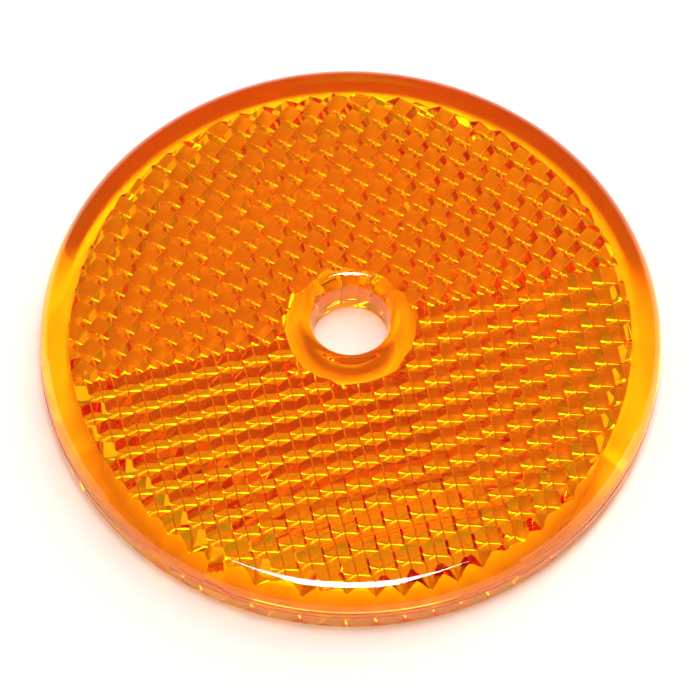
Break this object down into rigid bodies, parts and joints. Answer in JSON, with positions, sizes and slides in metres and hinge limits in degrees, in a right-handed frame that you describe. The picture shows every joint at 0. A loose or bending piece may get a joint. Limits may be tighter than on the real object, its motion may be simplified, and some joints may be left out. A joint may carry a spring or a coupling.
{
  "type": "reflex reflector",
  "caption": "Round amber reflex reflector moulded in one piece, with a central screw hole, a rounded front edge and cube-corner prisms in its back.",
  "frame": {"origin": "centre of the back face, on the axis of the screw hole", "axes": "+Z along the screw hole, out of the front face; X along the line where the two halves of the prism field meet"},
  "size_m": [0.06, 0.06, 0.005],
  "materials": {
    "amber_acrylic": "transparent amber acrylic, polished by the mould"
  },
  "bodies": {
    "root": {"reflector": "amber_acrylic"}
  },
  "joints": []
}
